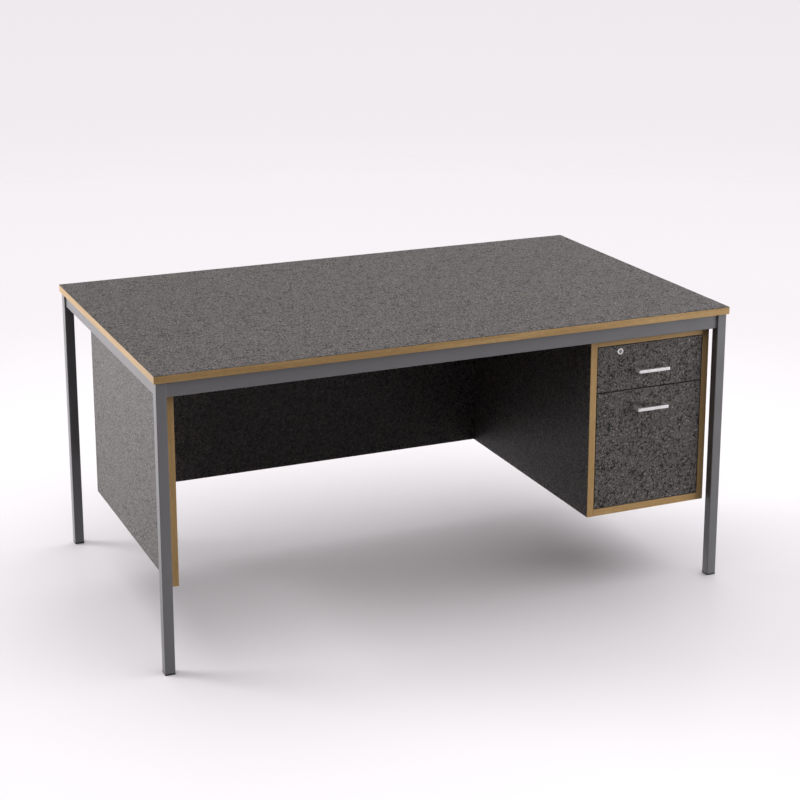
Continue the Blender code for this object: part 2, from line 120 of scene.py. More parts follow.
# Balls of the runners, in an upper and a lower row, and the strip that holds them. The last two
# are distances from the inner face of the cabinet member's web.
BALL = 0.0017
BALL_SEGMENTS = 14
BALL_RINGS = 8
BALL_PITCH = 0.014
BALL_COUNT = 12
BALL_ROW = 0.0149
CAGE_STEEL = 0.0007
CAGE_START = 0.030
BALL_OUT = 0.0061
CAGE_OUT = 0.0019

# Angle brackets that hold the hanging panels to the worktop
BRACKET_LEG = 0.020
BRACKET_WIDTH = 0.030
BRACKET_STEEL = 0.0018
BRACKET_BEND = 0.0025
BEND_STEPS = 4
PANEL_BRACKETS = 3
PEDESTAL_BRACKETS = 2

# Weld beads: their radii, the depth and pitch of the ripple, and how they close down at the ends
BEAD = 0.0019
BEAD_FINE = 0.0010
BEAD_TAB = BEAD * 0.8
BEAD_SIDES = 12
BEAD_RIPPLE = 0.12
BEAD_PITCH = 0.0022
BEAD_RINGS_PER_RIPPLE = 4
BEAD_LEAST_RINGS = 6
BEAD_END = 0.45
BEAD_TAPER = 4

# Floor: the distances are from the desk's centre
FLOOR_RADIUS = 16.0
FLOOR_SIDES = 96
FLOOR_SHADE_START = 1.0
FLOOR_SHADE_END = 3.0
FLOOR_FADE_START = 3.2
FLOOR_FADE_END = 7.5
FLOOR_NEAR = ((0.765, 0.734, 0.757), (0.775, 0.744, 0.767))
FLOOR_FAR = (0.66, 0.63, 0.65)
FLOOR_GLOSS = 0.06
FLOOR_GLOSS_ROUGHNESS = 0.22

# Backdrop that the eye sees, low and high
BACKDROP_LOW = (0.895, 0.855, 0.885)
BACKDROP_HIGH = (0.860, 0.818, 0.848)

# Room that lights the desk: in front of it and behind it, overhead, and below the horizon
ROOM_FRONT = (0.030, 0.029, 0.030)
ROOM_BACK = (0.72, 0.69, 0.71)
ROOM_ABOVE = (0.16, 0.154, 0.16)
ROOM_BELOW = (0.050, 0.048, 0.050)

# Camera: lens, sensor width and frame shift, place, and angles in degrees below the level and to
# the right of straight ahead
LENS_MM = 82.5
SENSOR_MM = 36.0
FRAME_SHIFT = -0.15
CAMERA_PLACE = (-1.79, -4.22, 1.92)
CAMERA_DIP = 14.13
CAMERA_TURN = 23.42


# ---------------------------------------------------------------- node helpers

def put(tree, kind, inputs=None, **settings):
    """Add a node; an input that is a socket is linked, and any other is set as a value."""
    node = tree.nodes.new(kind)
    for name, value in settings.items():
        setattr(node, name, value)
    for name, value in (inputs or {}).items():
        if isinstance(value, bpy.types.NodeSocket):
            tree.links.new(value, node.inputs[name])
        else:
            node.inputs[name].default_value = value
    return node


def finish_material(name, shader_values):
    """Material with one Principled shader, whose constants are set on its own sockets."""
    made = bpy.data.materials.new(name)
    made.use_nodes = True
    tree = made.node_tree
    shader = tree.nodes["Principled BSDF"]
    for socket, value in shader_values.items():
        shader.inputs[socket].default_value = value
    return made, tree, shader


def object_space(tree, stretch=(1.0, 1.0, 1.0)):
    """Coordinates in metres that move with the piece, stretched along its grain."""
    place = put(tree, "ShaderNodeTexCoord").outputs["Object"]
    scaled = put(tree, "ShaderNodeMapping", {"Vector": place, "Scale": stretch})
    return scaled.outputs["Vector"]


def noise(tree, place, scale, detail, roughness, distortion=0.0):
    """Fractal noise from 0 to 1 with features of about 1 / scale."""
    values = {"Vector": place, "Scale": scale, "Detail": detail, "Roughness": roughness}
    made = put(tree, "ShaderNodeTexNoise", values)
    made.inputs["Distortion"].default_value = distortion
    return made.outputs["Fac"]


def cells(tree, place, scale, output="Distance"):
    """Irregular cells of about 1 / scale: the distance from each centre, or a colour of its own."""
    return put(tree, "ShaderNodeTexVoronoi", {"Vector": place, "Scale": scale}).outputs[output]


def ranged(tree, value, low, high, to_low=0.0, to_high=1.0):
    """Map one range onto another with soft ends; values outside it are clamped."""
    inputs = {"Value": value, "From Min": low, "From Max": high, "To Min": to_low, "To Max": to_high}
    made = put(tree, "ShaderNodeMapRange", inputs, interpolation_type="SMOOTHSTEP")
    return made.outputs["Result"]


def maths(tree, operation, first, second):
    """One arithmetic step on two values."""
    node = put(tree, "ShaderNodeMath", operation=operation)
    for socket, value in zip(node.inputs, (first, second)):
        if isinstance(value, bpy.types.NodeSocket):
            tree.links.new(value, socket)
        else:
            socket.default_value = value
    return node.outputs["Value"]


def blended(tree, factor, first, second):
    """Mix of two colours, which are the seventh and eighth inputs of the mix node."""
    node = put(tree, "ShaderNodeMix", data_type="RGBA", blend_type="MIX")
    for index, value in ((0, factor), (6, first), (7, second)):
        if isinstance(value, bpy.types.NodeSocket):
            tree.links.new(value, node.inputs[index])
        elif index:
            node.inputs[index].default_value = (*value, 1.0)
        else:
            node.inputs[index].default_value = value
    return node.outputs[2]


def relief(tree, shader, height, depth, strength):
    """Bump of the given depth in metres on the shader's normal."""
    inputs = {"Height": height, "Distance": depth, "Strength": strength}
    bump = put(tree, "ShaderNodeBump", inputs)
    tree.links.new(bump.outputs["Normal"], shader.inputs["Normal"])


# ---------------------------------------------------------------- finishes

# Laminate print: the ground and the worn specks each in a cool and a warm tone, then the dark specks
# and pits
GROUND_TONES = ((0.089, 0.079, 0.078), (0.092, 0.081, 0.074))
WORN_TONES = ((0.320, 0.290, 0.284), (0.325, 0.292, 0.268))
DARK_SPECK = (0.018, 0.016, 0.015)
PIT = (0.003, 0.0027, 0.0027)
# Painted highlight: pale glints painted into the colour on some specks, in place of their shine
PAINTED_GLINT = (0.50, 0.47, 0.45)

# How strongly the clouds gather the pits, and how strongly the painted highlight glints show
CLOUD_PULL = 0.46
GLINT_STRENGTH = 0.8

# Beech: its bands, and the browns laid over them
BEECH_BANDS = ((0.44, 0.275, 0.112), (0.54, 0.355, 0.158))
BEECH_PATCH = (0.40, 0.24, 0.094)
BEECH_FIBRE = (0.27, 0.150, 0.060)
BEECH_RAY = (0.185, 0.095, 0.034)

# Chipboard: its chips, the dust between them and the gaps
CHIP_TONES = ((0.33, 0.225, 0.125), (0.56, 0.42, 0.265))
CHIP_DUST = (0.45, 0.33, 0.20)
CHIP_GAP = (0.14, 0.085, 0.045)

# Powder coat, moulded plastic and printed foil
SLATE_TONES = ((0.104, 0.103, 0.109), (0.118, 0.116, 0.122))
SLATE_PIGMENT = (0.17, 0.17, 0.18)
PLASTIC_TONES = ((0.020, 0.020, 0.022), (0.060, 0.059, 0.060))
FOIL_TONES = ((0.47, 0.335, 0.19), (0.57, 0.43, 0.265))
FOIL_FIBRE = (0.38, 0.25, 0.13)

# Metals
ZINC_TONES = ((0.50, 0.50, 0.52), (0.63, 0.63, 0.64))
NICKEL_TONES = ((0.56, 0.547, 0.556), (0.61, 0.597, 0.606))
WORN_NICKEL_TONES = ((0.17, 0.165, 0.165), (0.24, 0.235, 0.235))


def laminate():
    """Dark laminate printed with a stony grain of worn specks and clustered pits, with painted
    highlights as pale glints on some specks.
    """
    made, tree, shader = finish_material("laminate_mottled", {"Specular IOR Level": 0.25})
    place = object_space(tree)
    grain = noise(tree, place, scale=215.0, detail=2.0, roughness=0.9)
    cloud = noise(tree, place, scale=40.0, detail=3.0, roughness=0.7)
    tint = noise(tree, place, scale=11.0, detail=2.0, roughness=0.5, distortion=0.5)
    warm = ranged(tree, tint, 0.36, 0.64)
    base = blended(tree, warm, *GROUND_TONES)
    pale = blended(tree, warm, *WORN_TONES)
    lively = maths(tree, "MULTIPLY", maths(tree, "SUBTRACT", cloud, 0.5), CLOUD_PULL)
    lifted = blended(tree, ranged(tree, grain, 0.585, 0.67), base, pale)
    lowered = blended(tree, ranged(tree, grain, 0.44, 0.38), lifted, DARK_SPECK)
    pitting = noise(tree, place, scale=165.0, detail=1.5, roughness=0.75, distortion=0.2)
    pit_field = maths(tree, "ADD", pitting, lively)
    pits = ranged(tree, pit_field, 0.422, 0.412)
    pitted = blended(tree, pits, lowered, PIT)
    # Painted highlight: pale glints on some specks, painted into the colour, not made by roughness
    glint_shape = ranged(tree, cells(tree, place, 95.0), 0.22, 0.12)
    glint_pick = ranged(tree, cells(tree, place, 95.0, "Color"), 0.88, 0.92)
    flecks = maths(tree, "MULTIPLY", glint_shape, glint_pick)
    glinted = blended(tree, maths(tree, "MULTIPLY", flecks, GLINT_STRENGTH), pitted, PAINTED_GLINT)
    tree.links.new(glinted, shader.inputs["Base Color"])
    tree.links.new(ranged(tree, grain, 0.35, 0.65, 0.60, 0.44), shader.inputs["Roughness"])
    height = maths(tree, "SUBTRACT", maths(tree, "MULTIPLY", grain, 0.5), pits)
    relief(tree, shader, height, 0.00010, 0.5)
    return made


def beech(name, along):
    """Lacquered beech edging: long grain, short dark ray flecks and soft bands of tone."""
    made, tree, shader = finish_material(name, {"Specular IOR Level": 0.3})
    long_grain = [1.0, 1.0, 1.0]
    long_grain[along] = 0.05
    place = object_space(tree, long_grain)
    short_fleck = [1.0, 1.0, 1.0]
    short_fleck[along] = 0.22
    fleck_place = object_space(tree, short_fleck)
    bands = noise(tree, place, scale=90.0, detail=3.0, roughness=0.55, distortion=0.4)
    fibres = noise(tree, place, scale=900.0, detail=3.0, roughness=0.6)
    patches = noise(tree, object_space(tree), scale=5.0, detail=2.0, roughness=0.5)
    light = blended(tree, ranged(tree, bands, 0.32, 0.68), *BEECH_BANDS)
    toned = blended(tree, ranged(tree, patches, 0.3, 0.7, 0.0, 0.35), light, BEECH_PATCH)
    grained = blended(tree, ranged(tree, fibres, 0.60, 0.40, 0.0, 0.45), toned, BEECH_FIBRE)
    flecks = ranged(tree, cells(tree, fleck_place, 620.0), 0.26, 0.12, 0.0, 0.5)
    rayed = blended(tree, flecks, grained, BEECH_RAY)
    tree.links.new(rayed, shader.inputs["Base Color"])
    tree.links.new(ranged(tree, fibres, 0.3, 0.7, 0.34, 0.50), shader.inputs["Roughness"])
    relief(tree, shader, fibres, 0.00005, 0.5)
    return made


def chipboard():
    """Raw chipboard: wood chips of many tones pressed together, with small dark gaps."""
    made, tree, shader = finish_material("chipboard_raw", {"Specular IOR Level": 0.25})
    place = object_space(tree, (1.0, 0.55, 1.0))
    warped = noise(tree, place, scale=140.0, detail=3.0, roughness=0.6, distortion=1.5)
    chip = cells(tree, place, 210.0, "Color")
    tone = blended(tree, chip, *CHIP_TONES)
    dusty = blended(tree, ranged(tree, warped, 0.40, 0.62, 0.0, 0.5), tone, CHIP_DUST)
    gaps = ranged(tree, noise(tree, place, scale=420.0, detail=3.0, roughness=0.7), 0.40, 0.32)
    gapped = blended(tree, gaps, dusty, CHIP_GAP)
    tree.links.new(gapped, shader.inputs["Base Color"])
    shader.inputs["Roughness"].default_value = 0.85
    relief(tree, shader, maths(tree, "SUBTRACT", warped, gaps), 0.00025, 0.8)
    return made


def frame_paint():
    """Slate-grey powder coat with its fine orange peel."""
    made, tree, shader = finish_material("powder_coat_slate", {"Specular IOR Level": 0.9})
    place = object_space(tree)
    peel = noise(tree, place, scale=1400.0, detail=2.0, roughness=0.5)
    swell = noise(tree, place, scale=320.0, detail=2.0, roughness=0.5)
    film = noise(tree, place, scale=9.0, detail=3.0, roughness=0.6)
    colour = blended(tree, ranged(tree, film, 0.3, 0.7), *SLATE_TONES)
    pigment = blended(tree, ranged(tree, peel, 0.62, 0.75, 0.0, 0.35), colour, SLATE_PIGMENT)
    tree.links.new(pigment, shader.inputs["Base Color"])
    tree.links.new(ranged(tree, film, 0.3, 0.7, 0.29, 0.36), shader.inputs["Roughness"])
    height = maths(tree, "ADD", maths(tree, "MULTIPLY", peel, 0.4), swell)
    relief(tree, shader, height, 0.00006, 0.5)
    return made


def foot_plastic():
    """Black moulded plastic with a fine spark texture."""
    made, tree, shader = finish_material("moulded_black", {"Specular IOR Level": 0.4})
    place = object_space(tree)
    spark = noise(tree, place, scale=2400.0, detail=2.0, roughness=0.6)
    scuff = noise(tree, object_space(tree, (1.0, 1.0, 3.0)), scale=160.0, detail=3.0, roughness=0.6)
    worn = blended(tree, ranged(tree, scuff, 0.58, 0.74, 0.0, 0.5), *PLASTIC_TONES)
    tree.links.new(worn, shader.inputs["Base Color"])
    tree.links.new(ranged(tree, scuff, 0.4, 0.7, 0.46, 0.62), shader.inputs["Roughness"])
    relief(tree, shader, spark, 0.00005, 0.6)
    return made


def drawer_lining(name, along):
    """Pale beech foil on the drawer boards, with a soft printed grain."""
    made, tree, shader = finish_material(name, {"Specular IOR Level": 0.35})
    stretch = [1.0, 1.0, 1.0]
    stretch[along] = 0.04
    place = object_space(tree, stretch)
    bands = noise(tree, place, scale=55.0, detail=4.0, roughness=0.6, distortion=0.8)
    fibres = noise(tree, place, scale=700.0, detail=2.0, roughness=0.6)
    foil = blended(tree, ranged(tree, bands, 0.35, 0.65), *FOIL_TONES)
    lined = blended(tree, ranged(tree, fibres, 0.58, 0.38, 0.0, 0.3), foil, FOIL_FIBRE)
    tree.links.new(lined, shader.inputs["Base Color"])
    tree.links.new(ranged(tree, bands, 0.3, 0.7, 0.42, 0.52), shader.inputs["Roughness"])
    relief(tree, shader, fibres, 0.00003, 0.4)
    return made


def runner_steel():
    """Zinc-plated steel: drawn along its length, with a faint cloudy tone."""
    made, tree, shader = finish_material("zinc_plate", {"Metallic": 1.0})
    drawn = noise(tree, object_space(tree, (1.0, 0.03, 1.0)), scale=1500.0, detail=2.0, roughness=0.6)
    cloud = noise(tree, object_space(tree), scale=45.0, detail=3.0, roughness=0.6)
    zinc = blended(tree, ranged(tree, cloud, 0.35, 0.65), *ZINC_TONES)
    tree.links.new(zinc, shader.inputs["Base Color"])
    tree.links.new(ranged(tree, drawn, 0.3, 0.7, 0.30, 0.44), shader.inputs["Roughness"])
    relief(tree, shader, drawn, 0.00003, 0.5)
    return made


def satin_nickel(name, tones):
    """Brushed satin nickel, its lines running across the desk."""
    made, tree, shader = finish_material(name, {"Metallic": 1.0})
    brushed = noise(tree, object_space(tree, (0.03, 1.0, 1.0)), scale=2600.0, detail=2.0, roughness=0.6)
    cloud = noise(tree, object_space(tree), scale=60.0, detail=2.0, roughness=0.5)
    nickel = blended(tree, ranged(tree, cloud, 0.35, 0.65), *tones)
    tree.links.new(nickel, shader.inputs["Base Color"])
    tree.links.new(ranged(tree, brushed, 0.3, 0.7, 0.42, 0.54), shader.inputs["Roughness"])
    relief(tree, shader, brushed, 0.00002, 0.5)
    return made


LAMINATE = laminate()
BEECH = [beech(f"beech_along_{axis}", index) for index, axis in enumerate("xyz")]
CHIPBOARD = chipboard()
PAINT = frame_paint()
FOOT = foot_plastic()
LINING = [drawer_lining(f"beech_foil_along_{axis}", index) for index, axis in enumerate("xyz")]
ZINC = runner_steel()
NICKEL = satin_nickel("nickel_satin", NICKEL_TONES)
PLUG = satin_nickel("nickel_worn", WORN_NICKEL_TONES)


# ---------------------------------------------------------------- the frame's own nodes

def finish_node(name, material, rounding):
    """Give a node its finish and round its edges; its split corners are welded first."""
    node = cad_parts[name]
    node.data.materials.clear()
    node.data.materials.append(material)
    if rounding:
        weld = node.modifiers.new("weld", "WELD")
        weld.merge_threshold = CORNER_GAP
        bevel = node.modifiers.new("edges", "BEVEL")
        bevel.width = rounding
        bevel.segments = EDGE_SEGMENTS
        bevel.limit_method = "ANGLE"
        bevel.angle_limit = NODE_SHARP


def finish_nodes():
    """Every node's finish, by what it is."""
    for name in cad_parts:
        low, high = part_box(name)
        size = high - low
        longest = max(range(3), key=lambda axis: size[axis])
        if name.startswith("lipping"):
            finish_node(name, BEECH[longest], LIPPING_EDGE)
        elif name.startswith(("pedestal_edging", "side_panel_edging")):
            finish_node(name, BEECH[longest], SHEET_EDGE)
        elif name.endswith("front_edging"):
            finish_node(name, LAMINATE, 0.0)
        elif name == "worktop_board":
            finish_node(name, CHIPBOARD, BOARD_EDGE)
        elif name.startswith(("leg", "rail", "fixing_tab")):
            finish_node(name, PAINT, 0.0)
        elif name.startswith("foot"):
            finish_node(name, FOOT, PLASTIC_EDGE)
        elif "runner" in name:
            finish_node(name, ZINC, STEEL_EDGE)
        elif name in ("lock_nut", "lock_cam"):
            finish_node(name, ZINC, 0.0)
        elif name == "lock_plug":
            finish_node(name, PLUG, 0.0)
        elif name == "lock_housing" or name.endswith("handle"):
            finish_node(name, NICKEL, 0.0)
        elif name.startswith("drawer") and not name.endswith("front"):
            finish_node(name, LINING[longest], BOARD_EDGE)
        else:
            finish_node(name, LAMINATE, SHEET_EDGE)


finish_nodes()


# ---------------------------------------------------------------- mesh helpers

def facing(point, direction):
    """Placement at a point, with the local +Z axis turned to a direction."""
    return Matrix.Translation(point) @ Vector(direction).to_track_quat("Z", "Y").to_matrix().to_4x4()


def ring(solid, place, radii, height):
    """Loop of corners about the local Z axis, one radius for each corner."""
    count = len(radii)
    corners = []
    for index, radius in enumerate(radii):
        turn = 2 * math.pi * index / count
        corner = Vector((radius * math.cos(turn), radius * math.sin(turn), height))
        corners.append(solid.verts.new(place @ corner))
    return corners


def skin(solid, loops, closed=False):
    """Quads between successive loops; a closed skin returns to its first loop."""
    pairs = list(zip(loops, loops[1:]))
    if closed:
        pairs.append((loops[-1], loops[0]))
    for first, second in pairs:
        for index, corner in enumerate(first):
            after = (index + 1) % len(first)
            solid.faces.new((corner, first[after], second[after], second[index]))


def washer(solid, place, bore, outer, thickness):
    """Flat ring with a small chamfer."""
    edge = thickness / 4
    under = ((bore, 0.0), (outer, 0.0))
    over = ((outer, thickness - edge), (outer - edge, thickness), (bore, thickness))
    loops = [ring(solid, place, [radius] * HEAD_SIDES, height) for radius, height in under + over]
    skin(solid, loops, closed=True)


def cross_radii():
    """Radii of a cross-shaped outline, whose arms are 1 long, at the corners of a head's ring."""
    half_width = math.tan(2 * math.pi / HEAD_SIDES)
    radii = []
    for index in range(HEAD_SIDES):
        off_arm = abs(math.radians((index * 360 / HEAD_SIDES + 45) % 90 - 45))
        if off_arm <= 2 * math.pi / HEAD_SIDES + ANGLE_SLACK:
            radii.append(1 / math.cos(off_arm))
        else:
            radii.append(half_width / math.sin(off_arm))
    return radii


def screw_head(solid, point, direction, size, spin=0.0, crown=SCREW_CROWN):
    """Domed head with a cross recess, standing on a face."""
    radius, height = size
    seat = Vector(point) - Vector(direction) * SEAT
    place = facing(seat, direction) @ Matrix.Rotation(spin, 4, "Z")
    recess = [reach * radius * CROSS_TIP for reach in cross_radii()]
    deep = [reach * CROSS_FLOOR for reach in recess]
    shoulder = height * (1 - crown)
    rim = radius * CROSS_TIP * CROSS_RIM
    levels = [(share, height * rise) for share, rise in HEAD_WALL]
    levels += [(share, shoulder + height * crown * rise) for share, rise in HEAD_DOME]
    loops = [ring(solid, place, [radius * share] * HEAD_SIDES, level) for share, level in levels]
    loops.append(ring(solid, place, [rim] * HEAD_SIDES, height))
    loops.append(ring(solid, place, recess, height))
    loops.append(ring(solid, place, deep, height * (1 - CROSS_DEPTH)))
    skin(solid, loops)
    solid.faces.new(loops[0])
    solid.faces.new(loops[-1])


def ball(solid, centre):
    """One steel ball, added to the mesh of its cage."""
    bmesh.ops.create_uvsphere(
        solid,
        u_segments=BALL_SEGMENTS,
        v_segments=BALL_RINGS,
        radius=BALL,
        matrix=Matrix.Translation(centre),
    )


def prism(solid, outline, place, length):
    """Bar of one closed outline in the local XY plane, as long as given along local Z."""
    loops = []
    for level in (-length / 2, length / 2):
        loops.append([solid.verts.new(place @ Vector((across, up, level))) for across, up in outline])
    skin(solid, loops)
    solid.faces.new(loops[0])
    solid.faces.new(loops[-1])


def detail(name, solid, body, slot, material, rounding=0.0):
    """Piece made from a bmesh solid: finished and riding its body."""
    bmesh.ops.recalc_face_normals(solid, faces=solid.faces)
    mesh = bpy.data.meshes.new(name)
    solid.to_mesh(mesh)
    solid.free()
    mesh.shade_smooth()
    mesh.set_sharp_from_angle(angle=DETAIL_SHARP)
    mesh.materials.append(material)
    made = bpy.data.objects.new(name, mesh)
    bpy.context.scene.collection.objects.link(made)
    if rounding:
        bevel = made.modifiers.new("edges", "BEVEL")
        bevel.width = rounding
        bevel.segments = EDGE_SEGMENTS
        bevel.limit_method = "ANGLE"
        bevel.angle_limit = DETAIL_SHARP
    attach(made, body)
    return made


# ---------------------------------------------------------------- frame details

def bead(solid, start, end, radius):
    """Rippled weld bead along a straight joint, its ends closed down."""
    start = Vector(start)
    run = Vector(end) - start
    steps = max(BEAD_LEAST_RINGS, BEAD_RINGS_PER_RIPPLE * round(run.length / BEAD_PITCH))
    place = facing(start, run.normalized())
    loops = []
    for step in range(steps + 1):
        share = step / steps
        ripple = 1 + BEAD_RIPPLE * math.cos(2 * math.pi * share * run.length / BEAD_PITCH)
        taper = min(1.0, BEAD_END + BEAD_TAPER * min(share, 1 - share))
        loops.append(ring(solid, place, [radius * ripple * taper] * BEAD_SIDES, share * run.length))
    skin(solid, loops)
    solid.faces.new(loops[0])
    solid.faces.new(loops[-1])


def build_welds():
    """Beads where each rail meets a leg, inside, underneath and, dressed fine, outside."""
    for row, rail, y_side in (("front", "rail_front", -1), ("back", "rail_back", 1)):
        for column, side_rail, x_side in (("left", "rail_left", -1), ("right", "rail_right", 1)):
            solid = bmesh.new()
            leg_low, leg_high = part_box(f"leg_{row}_{column}")
            leg_x = leg_high.x if x_side < 0 else leg_low.x
            leg_y = leg_high.y if y_side < 0 else leg_low.y
            low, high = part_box(rail)
            faces = (low.y, high.y)
            for y, radius in ((faces[y_side < 0], BEAD), (faces[y_side > 0], BEAD_FINE)):
                bead(solid, (leg_x, y, low.z + BEAD), (leg_x, y, high.z - BEAD), radius)
            bead(solid, (leg_x, low.y + BEAD, low.z), (leg_x, high.y - BEAD, low.z), BEAD)
            low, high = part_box(side_rail)
            faces = (low.x, high.x)
            for x, radius in ((faces[x_side < 0], BEAD), (faces[x_side > 0], BEAD_FINE)):
                bead(solid, (x, leg_y, low.z + BEAD), (x, leg_y, high.z - BEAD), radius)
            bead(solid, (low.x + BEAD, leg_y, low.z), (high.x - BEAD, leg_y, low.z), BEAD)
            detail(f"weld_{row}_{column}", solid, "desk", "frame_paint", PAINT)


def build_tab_fixings():
    """Weld bead and worktop screw of each fixing tab."""
    for row in ("front", "back"):
        for column in ("left", "right"):
            low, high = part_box(f"fixing_tab_{row}_{column}")
            centre = (low + high) / 2
            rail_y = low.y if row == "front" else high.y
            solid = bmesh.new()
            bead(solid, (low.x + BEAD, rail_y, low.z), (high.x - BEAD, rail_y, low.z), BEAD_TAB)
            detail(f"tab_weld_{row}_{column}", solid, "desk", "frame_paint", PAINT)
            solid = bmesh.new()
            spin = centre.x * WORKTOP_SPIN
            screw_head(solid, (centre.x, centre.y, low.z), DOWN, WORKTOP_SCREW, spin)
            detail(f"worktop_screw_{row}_{column}", solid, "desk", "runner_steel", ZINC)


# ---------------------------------------------------------------- panel brackets

def bracket_outline():
    """L section with a bent corner, its outer faces on the two axes."""
    leg = BRACKET_LEG
    steel = BRACKET_STEEL
    bend = BRACKET_BEND
    outline = [(leg, 0.0), (leg, steel)]
    for step in range(BEND_STEPS + 1):
        turn = math.radians(270 - 90 * step / BEND_STEPS)
        outline.append((steel + bend + bend * math.cos(turn), steel + bend + bend * math.sin(turn)))
    outline += [(steel, leg), (0.0, leg)]
    outer = bend + steel
    for step in range(BEND_STEPS + 1):
        turn = math.radians(180 + 90 * step / BEND_STEPS)
        outline.append((outer + outer * math.cos(turn), outer + outer * math.sin(turn)))
    return outline


def bracket(name, corner, outward):
    """Steel angle in the corner under the worktop, with two screws up and two into the panel."""
    outward = Vector(outward)
    along = outward.cross(DOWN)
    place = Matrix.Translation(corner) @ Matrix((outward, DOWN, along)).transposed().to_4x4()
    solid = bmesh.new()
    prism(solid, bracket_outline(), place, BRACKET_WIDTH)
    detail(f"{name}_angle", solid, "desk", "runner_steel", ZINC, rounding=STEEL_EDGE)
    solid = bmesh.new()
    middle = (BRACKET_LEG + BRACKET_STEEL + BRACKET_BEND) / 2
    for offset in (-BRACKET_WIDTH / 4, BRACKET_WIDTH / 4):
        for local, direction in (
            ((middle, BRACKET_STEEL, offset), DOWN),
            ((BRACKET_STEEL, middle, offset), outward),
        ):
            spin = offset * BRACKET_SPIN
            screw_head(solid, place @ Vector(local), direction, BRACKET_SCREW, spin)
    detail(f"{name}_screws", solid, "desk", "runner_steel", ZINC)


def spread(start, end, count):
    """Evenly spaced places between two ends, half a step in from each."""
    step = (end - start) / count
    return [start + step * (index + 0.5) for index in range(count)]


def build_brackets():
    """Angles under the worktop along the side panel, the modesty panel and the pedestal."""
    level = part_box("worktop_board")[0].z
    low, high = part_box("side_panel")
    for index, y in enumerate(spread(low.y, high.y, PANEL_BRACKETS)):
        bracket(f"side_panel_bracket_{index + 1}", (high.x, y, level), RIGHT)
    low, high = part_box("modesty_panel")
    for index, x in enumerate(spread(low.x, high.x, PANEL_BRACKETS)):
        bracket(f"modesty_bracket_{index + 1}", (x, low.y, level), FRONT)
    for side, outward in (("left", RIGHT), ("right", LEFT)):
        low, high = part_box(f"pedestal_side_{side}")
        face = high.x if side == "left" else low.x
        for index, y in enumerate(spread(low.y, high.y, PEDESTAL_BRACKETS)):
            bracket(f"pedestal_bracket_{side}_{index + 1}", (face, y, level), outward)


# ---------------------------------------------------------------- drawer details

def build_handle_screws(drawer):
    """Machine screws and washers that hold the handle, seen inside the drawer."""
    low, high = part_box(f"{drawer}_handle")
    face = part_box(f"{drawer}_front")[1].y
    foot = (high.z - low.z) / 2
    solid = bmesh.new()
    for x in (low.x + foot, high.x - foot):
        point = Vector((x, face, (low.z + high.z) / 2))
        washer(solid, facing(point - BACK * SEAT, BACK), HANDLE_SCREW[0] / 2, *WASHER)
        screw_head(solid, point + BACK * WASHER[1], BACK, HANDLE_SCREW, x * HANDLE_SPIN)
    detail(f"{drawer}_handle_screws", solid, drawer, "runner_steel", ZINC)


def build_corner_fittings(drawer):
    """Faces of the cam fittings in the drawer's sides, which pull the front on."""
    solid = bmesh.new()
    for side, direction in (("left", RIGHT), ("right", LEFT)):
        low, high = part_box(f"{drawer}_side_{side}")
        face = high.x if side == "left" else low.x
        count = 2 if high.z - low.z > TALL_SIDE else 1
        for z in spread(low.z + FITTING_LIFT, high.z, count):
            point = (face, low.y + FITTING_INSET, z)
            screw_head(solid, point, direction, CAM_FITTING, z * FITTING_SPIN, FITTING_CROWN)
    detail(f"{drawer}_cam_fittings", solid, drawer, "runner_steel", ZINC)


def screw_places(low, high, places):
    """Places along a runner, from its front end if positive and from its back end if negative."""
    return [low.y + place if place > 0 else high.y + place for place in places]


def build_runner_details(drawer):
    """Screws through both members of each runner, and the ball cage between them."""
    for side, sign in (("left", 1), ("right", -1)):
        low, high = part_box(f"{drawer}_drawer_runner_{side}")
        web = high.x if sign > 0 else low.x
        outward = LEFT * sign
        middle = (low.z + high.z) / 2
        solid = bmesh.new()
        for y in screw_places(low, high, DRAWER_RUNNER_SCREWS):
            point = (web - sign * RUNNER_STEEL, y, middle)
            screw_head(solid, point, outward, RUNNER_SCREW, y * DRAWER_RUNNER_SPIN, RUNNER_CROWN)
        detail(f"{drawer}_drawer_runner_screws_{side}", solid, drawer, "runner_steel", ZINC)
        low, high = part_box(f"{drawer}_cabinet_runner_{side}")
        web = low.x if sign > 0 else high.x
        inward = RIGHT * sign
        solid = bmesh.new()
        face = web + sign * RUNNER_STEEL
        for y in screw_places(low, high, CABINET_RUNNER_SCREWS):
            point = (face, y, middle)
            screw_head(solid, point, inward, RUNNER_SCREW, y * CABINET_RUNNER_SPIN, RUNNER_CROWN)
        detail(f"{drawer}_cabinet_runner_screws_{side}", solid, "desk", "runner_steel", ZINC)
        build_ball_cage(f"{drawer}_ball_cage_{side}", face, sign, low.y + CAGE_START, middle)


def build_ball_cage(name, face, sign, start, middle):
    """Two rows of steel balls held by a strip, between the members of a runner."""
    solid = bmesh.new()
    ball_x = face + sign * BALL_OUT
    strip_x = face + sign * CAGE_OUT
    length = BALL_PITCH * BALL_COUNT
    half = CAGE_STEEL / 2
    outline = [(-half, -BALL_ROW), (half, -BALL_ROW), (half, BALL_ROW), (-half, BALL_ROW)]
    centre = Matrix.Translation((strip_x, start + length / 2, middle))
    place = centre @ Matrix.Rotation(math.radians(90), 4, "X")
    prism(solid, outline, place, length)
    for index in range(BALL_COUNT):
        y = start + BALL_PITCH * (index + 0.5)
        for up in (-BALL_ROW, BALL_ROW):
            ball(solid, (ball_x, y, middle + up))
    detail(name, solid, "desk", "runner_steel", ZINC)


def build_lock_details():
    """Screw that holds the cam on the end of the plug."""
    low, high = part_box("lock_plug")
    solid = bmesh.new()
    axis_x = (low.x + high.x) / 2
    axis_z = (low.z + high.z) / 2
    screw_head(solid, (axis_x, high.y, axis_z), BACK, CAM_SCREW)
    detail("lock_cam_screw", solid, "lock", "runner_steel", ZINC)


